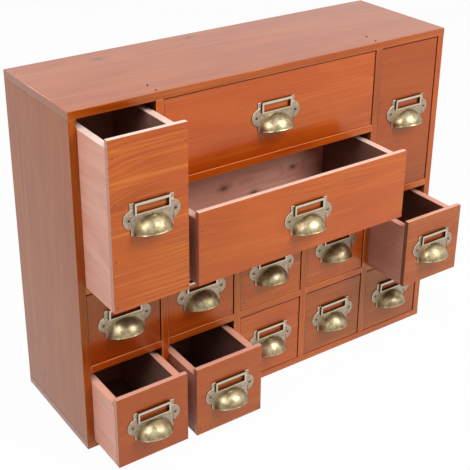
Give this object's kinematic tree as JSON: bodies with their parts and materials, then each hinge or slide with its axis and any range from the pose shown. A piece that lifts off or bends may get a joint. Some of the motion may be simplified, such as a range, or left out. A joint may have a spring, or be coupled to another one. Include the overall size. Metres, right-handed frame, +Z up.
{
  "type": "drawer cabinet",
  "caption": "Tabletop wooden cabinet of small, wide and tall drawers for sewing thread, each drawer with a cup pull and card frame.",
  "frame": {"origin": "centre of the rectangle that the cabinet stands on", "axes": "+Z up, the drawers open toward -Y, +X to the right as seen from the front"},
  "size_m": [0.509, 0.2389, 0.409],
  "materials": {
    "stained_wood": "glossy orange-brown stain and varnish",
    "drawer_wood": "pale softwood under a thin clear coat",
    "back_wood": "thin stained panel",
    "aged_brass": "aged and partly polished"
  },
  "bodies": {
    "cabinet": {"top_panel": "stained_wood", "bottom_panel": "stained_wood", "left_side": "stained_wood", "right_side": "stained_wood", "back_panel": "back_wood", "mid_shelf": "stained_wood", "wide_shelf": "stained_wood", "upper_divider_left": "stained_wood", "upper_divider_right": "stained_wood", "lower_divider_1": "stained_wood", "lower_divider_2": "stained_wood", "lower_divider_3": "stained_wood", "lower_divider_4": "stained_wood", "row_shelf_1": "stained_wood", "row_shelf_2": "stained_wood", "row_shelf_3": "stained_wood", "row_shelf_4": "stained_wood", "row_shelf_5": "stained_wood"},
    "tall_left": {"tall_left_front": "stained_wood", "tall_left_box": "drawer_wood", "tall_left_pull": "aged_brass"},
    "tall_right": {"tall_right_front": "stained_wood", "tall_right_box": "drawer_wood", "tall_right_pull": "aged_brass"},
    "wide_upper": {"wide_upper_front": "stained_wood", "wide_upper_box": "drawer_wood", "wide_upper_pull": "aged_brass"},
    "wide_lower": {"wide_lower_front": "stained_wood", "wide_lower_box": "drawer_wood", "wide_lower_pull": "aged_brass"},
    "small_upper_1": {"small_upper_1_front": "stained_wood", "small_upper_1_box": "drawer_wood", "small_upper_1_pull": "aged_brass"},
    "small_upper_2": {"small_upper_2_front": "stained_wood", "small_upper_2_box": "drawer_wood", "small_upper_2_pull": "aged_brass"},
    "small_upper_3": {"small_upper_3_front": "stained_wood", "small_upper_3_box": "drawer_wood", "small_upper_3_pull": "aged_brass"},
    "small_upper_4": {"small_upper_4_front": "stained_wood", "small_upper_4_box": "drawer_wood", "small_upper_4_pull": "aged_brass"},
    "small_upper_5": {"small_upper_5_front": "stained_wood", "small_upper_5_box": "drawer_wood", "small_upper_5_pull": "aged_brass"},
    "small_lower_1": {"small_lower_1_front": "stained_wood", "small_lower_1_box": "drawer_wood", "small_lower_1_pull": "aged_brass"},
    "small_lower_2": {"small_lower_2_front": "stained_wood", "small_lower_2_box": "drawer_wood", "small_lower_2_pull": "aged_brass"},
    "small_lower_3": {"small_lower_3_front": "stained_wood", "small_lower_3_box": "drawer_wood", "small_lower_3_pull": "aged_brass"},
    "small_lower_4": {"small_lower_4_front": "stained_wood", "small_lower_4_box": "drawer_wood", "small_lower_4_pull": "aged_brass"},
    "small_lower_5": {"small_lower_5_front": "stained_wood", "small_lower_5_box": "drawer_wood", "small_lower_5_pull": "aged_brass"}
  },
  "joints": [
    {"name": "tall_left_slide", "type": "slide", "parent": "cabinet", "child": "tall_left", "axis": [0, -1, 0], "range_m": [-0.063, 0.052]},
    {"name": "tall_right_slide", "type": "slide", "parent": "cabinet", "child": "tall_right", "axis": [0, -1, 0], "range_m": [0, 0.115]},
    {"name": "wide_upper_slide", "type": "slide", "parent": "cabinet", "child": "wide_upper", "axis": [0, -1, 0], "range_m": [0, 0.115]},
    {"name": "wide_lower_slide", "type": "slide", "parent": "cabinet", "child": "wide_lower", "axis": [0, -1, 0], "range_m": [-0.064, 0.051]},
    {"name": "small_upper_1_slide", "type": "slide", "parent": "cabinet", "child": "small_upper_1", "axis": [0, -1, 0], "range_m": [0, 0.115]},
    {"name": "small_upper_2_slide", "type": "slide", "parent": "cabinet", "child": "small_upper_2", "axis": [0, -1, 0], "range_m": [0, 0.115]},
    {"name": "small_upper_3_slide", "type": "slide", "parent": "cabinet", "child": "small_upper_3", "axis": [0, -1, 0], "range_m": [0, 0.115]},
    {"name": "small_upper_4_slide", "type": "slide", "parent": "cabinet", "child": "small_upper_4", "axis": [0, -1, 0], "range_m": [0, 0.115]},
    {"name": "small_upper_5_slide", "type": "slide", "parent": "cabinet", "child": "small_upper_5", "axis": [0, -1, 0], "range_m": [-0.066, 0.049]},
    {"name": "small_lower_1_slide", "type": "slide", "parent": "cabinet", "child": "small_lower_1", "axis": [0, -1, 0], "range_m": [-0.057, 0.058]},
    {"name": "small_lower_2_slide", "type": "slide", "parent": "cabinet", "child": "small_lower_2", "axis": [0, -1, 0], "range_m": [-0.0585, 0.0565]},
    {"name": "small_lower_3_slide", "type": "slide", "parent": "cabinet", "child": "small_lower_3", "axis": [0, -1, 0], "range_m": [0, 0.115]},
    {"name": "small_lower_4_slide", "type": "slide", "parent": "cabinet", "child": "small_lower_4", "axis": [0, -1, 0], "range_m": [0, 0.115]},
    {"name": "small_lower_5_slide", "type": "slide", "parent": "cabinet", "child": "small_lower_5", "axis": [0, -1, 0], "range_m": [0, 0.115]}
  ]
}
